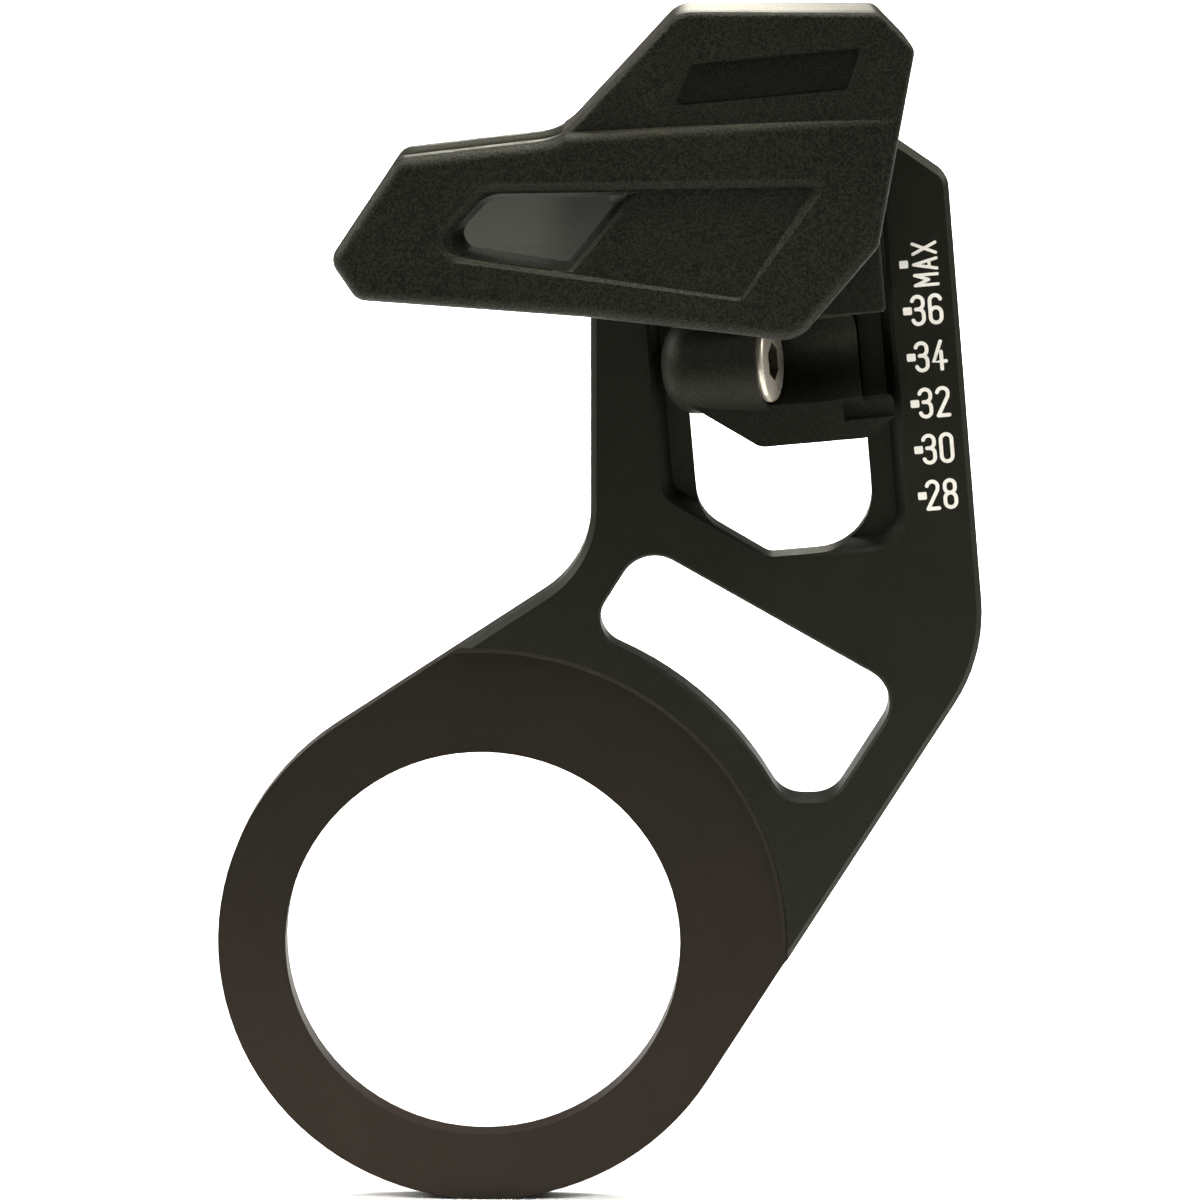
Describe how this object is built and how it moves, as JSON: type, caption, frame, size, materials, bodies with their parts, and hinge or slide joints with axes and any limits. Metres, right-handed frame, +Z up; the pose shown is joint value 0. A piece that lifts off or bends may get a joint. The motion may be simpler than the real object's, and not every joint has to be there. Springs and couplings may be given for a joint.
{
  "type": "bicycle chain guide",
  "caption": "Chain guide: a plate clamped behind the bottom bracket cup carries a moulded chain channel that slides along a chainring size scale and is locked by a socket bolt.",
  "frame": {"origin": "centre of the bottom bracket bore, on the face that seats on the shell", "axes": "+Z up along the plate's arm, +X towards the front of the bicycle, -Y outboard along the bore"},
  "size_m": [0.0672, 0.0228, 0.1068],
  "materials": {
    "plate": "black anodised, satin",
    "cage": "fine spark texture",
    "screws": "black oxide",
    "bolt": "bright",
    "jaw": "black anodised"
  },
  "bodies": {
    "backplate": {"backplate": "plate"},
    "guide": {"inner_guide": "cage", "outer_guide": "cage", "outer_guide_screws": "screws"},
    "bolt": {"clamp_bolt": "bolt"},
    "jaw": {"clamp_jaw": "jaw"}
  },
  "joints": [
    {"name": "height_slide", "type": "slide", "parent": "backplate", "child": "guide", "axis": [-0.0924, 0, 0.9957], "range_m": [-0.00808, 0.01212]},
    {"name": "bolt_turn", "type": "hinge", "parent": "guide", "child": "bolt", "pos_m": [0.02532, -0.0062, 0.05268], "axis": [0.9547, -0.284, 0.0886], "range_deg": [0, 360]},
    {"name": "jaw_slide", "type": "slide", "parent": "guide", "child": "jaw", "axis": [-0.9547, 0.284, -0.0886], "range_m": [0, 0.0007]}
  ],
  "couplings": [
    {"joint": "bolt_turn", "follows": "jaw_slide", "rad_per_m": 8975.9}
  ]
}
